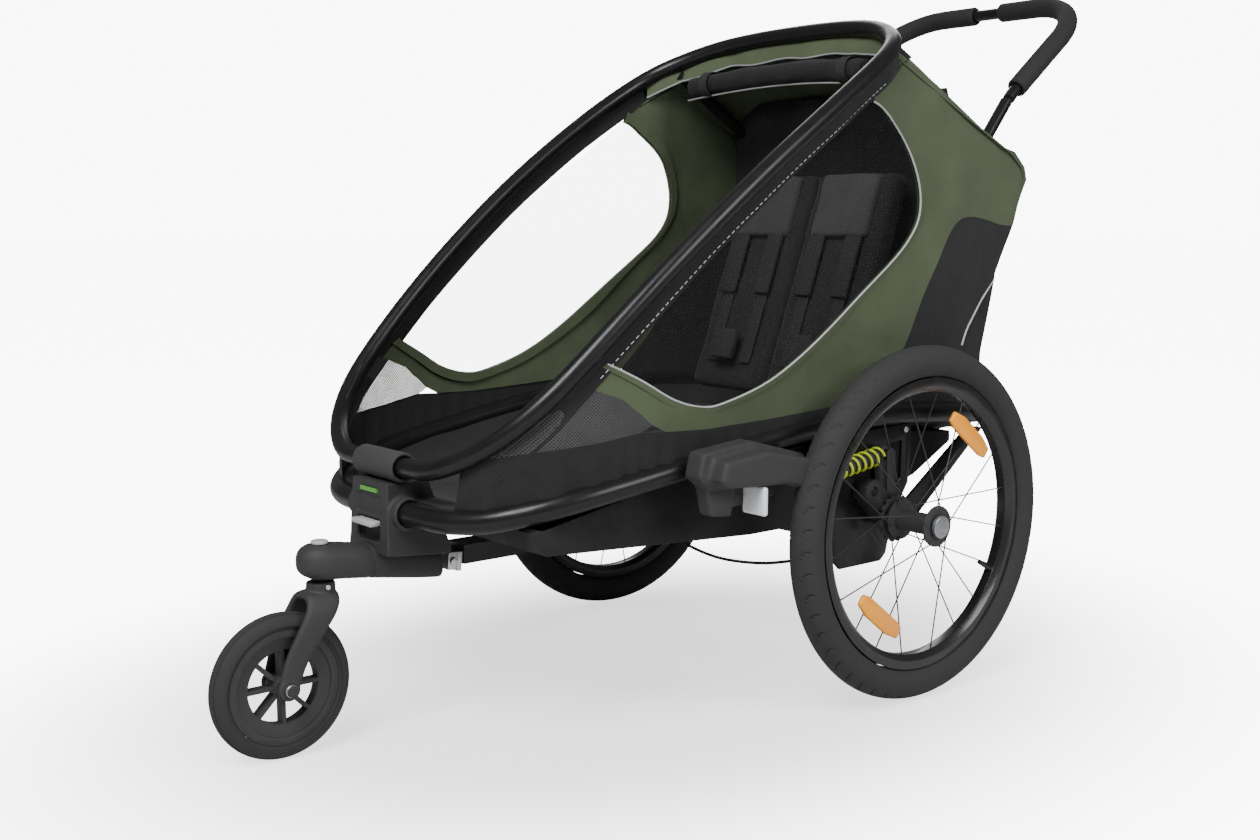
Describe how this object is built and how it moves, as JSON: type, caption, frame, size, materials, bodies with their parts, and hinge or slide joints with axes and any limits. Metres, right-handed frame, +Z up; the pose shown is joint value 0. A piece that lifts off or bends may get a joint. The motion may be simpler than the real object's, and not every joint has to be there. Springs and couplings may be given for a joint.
{
  "type": "child bicycle trailer",
  "caption": "Folding child bicycle trailer with a fabric cabin on a tubular frame, sprung spoked rear wheels, swivelling front wheel and tilting push bar.",
  "frame": {"origin": "on the ground under the centre of the bounding box", "axes": "+Z up; the front faces -Y, so +Y points backwards; +X is the right-hand side seen from the front looking back along +Y"},
  "size_m": [0.772, 1.492, 1.045],
  "materials": {
    "frame_tube": "matt powder coat",
    "moulded_plastic": "fine moulded grain",
    "swing_arm_metal": "matt powder coat",
    "green_marker": "smooth",
    "sleeve_rubber": "textured",
    "grey_button": "satin",
    "grip_foam": "foam",
    "spring_steel": "gloss coat",
    "clear_reflector": "ribbed clear",
    "red_reflector": "clear red",
    "orange_reflector": "clear orange",
    "tyre_rubber": "rubber",
    "rim_metal": "black anodised",
    "spoke_steel": "black",
    "hub_cap": "satin",
    "bright_metal": "zinc plated",
    "cable_jacket": "smooth",
    "tub_fabric": "coated woven",
    "seat_fabric": "woven",
    "webbing": "webbing",
    "cover_fabric": "coated ripstop",
    "cover_foil": "clear foil and mesh, rolled"
  },
  "bodies": {
    "chassis": {"lower_frame": "frame_tube", "front_connector": "moulded_plastic", "connector_marker": "green_marker", "hoop_sleeve": "sleeve_rubber", "centre_beam": "frame_tube", "rear_axle_beam": "frame_tube", "suspension_plate_left": "moulded_plastic", "suspension_plate_right": "moulded_plastic", "rear_bracket_left": "moulded_plastic", "rear_bracket_right": "moulded_plastic", "damper_left": "moulded_plastic", "damper_right": "moulded_plastic", "suspension_spring_left": "spring_steel", "suspension_spring_right": "spring_steel", "wheel_guard_left": "moulded_plastic", "wheel_guard_right": "moulded_plastic", "front_reflector_left": "clear_reflector", "front_reflector_right": "clear_reflector", "rear_reflectors": "red_reflector", "brake_cable": "cable_jacket", "stroller_arm": "moulded_plastic", "arm_bracket": "bright_metal", "floor_tub": "tub_fabric", "seat_cushion": "seat_fabric", "side_covers": "cover_fabric", "rear_cover": "cover_fabric"},
    "release": {"release_button": "grey_button"},
    "swivel_lock": {"swivel_lock_button": "grey_button"},
    "hoop": {"upper_hoop": "frame_tube", "hoop_rear_arm_left": "frame_tube", "hoop_rear_arm_right": "frame_tube", "front_cover_roll": "cover_foil"},
    "back_frame": {"back_frame": "frame_tube"},
    "seat_back": {"seat_back": "seat_fabric", "harness": "webbing"},
    "push_bar": {"push_bar": "frame_tube", "grip_left": "grip_foam", "grip_right": "grip_foam"},
    "bar_button_left": {"bar_button_left": "moulded_plastic"},
    "bar_button_right": {"bar_button_right": "moulded_plastic"},
    "brake_pedal": {"brake_pedal": "moulded_plastic"},
    "fork": {"fork": "moulded_plastic", "fork_bolts": "bright_metal", "caster_axle": "bright_metal"},
    "front_wheel": {"caster_tyre": "tyre_rubber", "caster_rim": "moulded_plastic"},
    "swing_arm_left": {"swing_arm_left": "swing_arm_metal"},
    "rear_wheel_left": {"tyre_left": "tyre_rubber", "rim_left": "rim_metal", "spokes_left": "spoke_steel", "hub_left": "rim_metal", "wheel_reflectors_left": "orange_reflector"},
    "hub_button_left": {"hub_button_left": "hub_cap"},
    "swing_arm_right": {"swing_arm_right": "swing_arm_metal"},
    "rear_wheel_right": {"tyre_right": "tyre_rubber", "rim_right": "rim_metal", "spokes_right": "spoke_steel", "hub_right": "rim_metal", "wheel_reflectors_right": "orange_reflector"},
    "hub_button_right": {"hub_button_right": "hub_cap"}
  },
  "joints": [
    {"name": "frame_fold", "type": "hinge", "parent": "chassis", "child": "hoop", "pos_m": [0, -0.498, 0.36], "axis": [-1, 0, 0], "range_deg": [0, 28], "deforming": ["side_covers", "rear_cover"]},
    {"name": "back_frame_fold", "type": "hinge", "parent": "chassis", "child": "back_frame", "pos_m": [0, 0.362, 0.377], "axis": [1, 0, 0], "range_deg": [0, 78]},
    {"name": "seat_back_fold", "type": "hinge", "parent": "chassis", "child": "seat_back", "pos_m": [0, 0.207, 0.4], "axis": [1, 0, 0], "range_deg": [0, 98]},
    {"name": "push_bar_tilt", "type": "hinge", "parent": "hoop", "child": "push_bar", "pos_m": [0, 0.439, 0.77], "axis": [1, 0, 0], "range_deg": [-35, 50]},
    {"name": "release_button_push", "type": "slide", "parent": "chassis", "child": "release", "axis": [0, 0, -1], "range_m": [0, 0.01], "stiffness_N_per_m": 400, "springref_m": -0.004},
    {"name": "swivel_lock_push", "type": "slide", "parent": "chassis", "child": "swivel_lock", "axis": [0, 0, -1], "range_m": [0, 0.003], "stiffness_N_per_m": 400, "springref_m": -0.002},
    {"name": "front_swivel", "type": "hinge", "parent": "chassis", "child": "fork", "pos_m": [0, -0.593, 0.25], "axis": [0, 0, 1], "continuous": true},
    {"name": "front_wheel_spin", "type": "hinge", "parent": "fork", "child": "front_wheel", "pos_m": [0, -0.652, 0.094], "axis": [1, 0, 0], "continuous": true},
    {"name": "brake_pedal_press", "type": "hinge", "parent": "chassis", "child": "brake_pedal", "pos_m": [0, 0.117, 0.227], "axis": [-1, 0, 0], "range_deg": [0, 18]},
    {"name": "suspension_left", "type": "hinge", "parent": "chassis", "child": "swing_arm_left", "pos_m": [-0.285, 0.117, 0.292], "axis": [1, 0, 0], "range_deg": [0, 9], "stiffness_Nm_per_rad": 60, "springref_deg": -17.19, "deforming": ["suspension_spring_left", "damper_left"]},
    {"name": "rear_wheel_spin_left", "type": "hinge", "parent": "swing_arm_left", "child": "rear_wheel_left", "pos_m": [-0.345, 0.157, 0.25], "axis": [1, 0, 0], "continuous": true},
    {"name": "hub_button_push_left", "type": "slide", "parent": "rear_wheel_left", "child": "hub_button_left", "axis": [1, 0, 0], "range_m": [0, 0.003], "stiffness_N_per_m": 400, "springref_m": -0.002},
    {"name": "bar_button_push_left", "type": "slide", "parent": "hoop", "child": "bar_button_left", "axis": [1, 0, 0], "range_m": [0, 0.0035], "stiffness_N_per_m": 400, "springref_m": -0.002},
    {"name": "suspension_right", "type": "hinge", "parent": "chassis", "child": "swing_arm_right", "pos_m": [0.285, 0.117, 0.292], "axis": [1, 0, 0], "range_deg": [0, 9], "stiffness_Nm_per_rad": 60, "springref_deg": -17.19, "deforming": ["suspension_spring_right", "damper_right"]},
    {"name": "rear_wheel_spin_right", "type": "hinge", "parent": "swing_arm_right", "child": "rear_wheel_right", "pos_m": [0.345, 0.157, 0.25], "axis": [1, 0, 0], "continuous": true},
    {"name": "hub_button_push_right", "type": "slide", "parent": "rear_wheel_right", "child": "hub_button_right", "axis": [-1, 0, 0], "range_m": [0, 0.003], "stiffness_N_per_m": 400, "springref_m": -0.002},
    {"name": "bar_button_push_right", "type": "slide", "parent": "hoop", "child": "bar_button_right", "axis": [-1, 0, 0], "range_m": [0, 0.0035], "stiffness_N_per_m": 400, "springref_m": -0.002}
  ],
  "couplings": [
    {"joint": "back_frame_fold", "follows": "frame_fold", "ratio": 2.75},
    {"joint": "seat_back_fold", "follows": "frame_fold", "ratio": 3.5}
  ]
}
